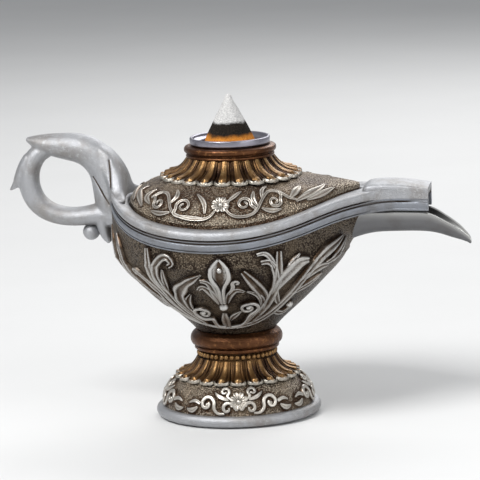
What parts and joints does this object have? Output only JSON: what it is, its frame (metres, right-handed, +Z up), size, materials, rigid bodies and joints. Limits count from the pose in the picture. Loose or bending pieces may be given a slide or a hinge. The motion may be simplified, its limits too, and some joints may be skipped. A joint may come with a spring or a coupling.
{
  "type": "oil lamp incense burner",
  "caption": "Genie oil lamp incense burner with a domed foot, round bowl, spout, S-shaped handle and a lift-off lid that carries a pan and an incense cone.",
  "frame": {"origin": "middle of the felt pad's underside, on the table", "axes": "+X towards the spout, -X towards the handle, +Z up along the axis of the foot and bowl; the lamp is the same on both sides of the XZ plane"},
  "size_m": [0.1463, 0.0766, 0.1018],
  "materials": {
    "felt": "dark felt",
    "antique_silver": "antique silver paint with brown in the hollows",
    "bronze": "bronze paint",
    "copper": "copper paint",
    "dark_ground": "dark stippled ground under the leaves",
    "silver": "silver paint",
    "dark_silver": "dark silver paint",
    "steel": "plain steel",
    "pan_steel": "thin pressed steel",
    "incense": "pressed incense powder, partly burnt"
  },
  "bodies": {
    "lamp": {"base_pad": "felt", "foot": "antique_silver", "foot_petals": "bronze", "bead_ring": "antique_silver", "collar_ring": "copper", "bowl": "dark_ground", "rim_lower": "silver", "rim_upper": "silver", "bowl_leaves": "silver", "spout_hood": "silver", "spout_lip": "dark_silver", "handle": "silver", "handle_ball": "silver", "handle_pins": "steel", "tie_screw": "steel"},
    "lid": {"lid": "antique_silver", "lid_scrolls": "antique_silver", "lid_petals": "bronze", "lid_collar": "copper"},
    "dish": {"cone_dish": "pan_steel"},
    "cone": {"incense_cone": "incense"}
  },
  "joints": [
    {"name": "lid_lift", "type": "slide", "parent": "lamp", "child": "lid", "axis": [0, 0, 1], "range_m": [0, 0.04]},
    {"name": "dish_lift", "type": "slide", "parent": "lid", "child": "dish", "axis": [0, 0, 1], "range_m": [0, 0.015]},
    {"name": "cone_lift", "type": "slide", "parent": "dish", "child": "cone", "axis": [0, 0, 1], "range_m": [0, 0.02]}
  ]
}
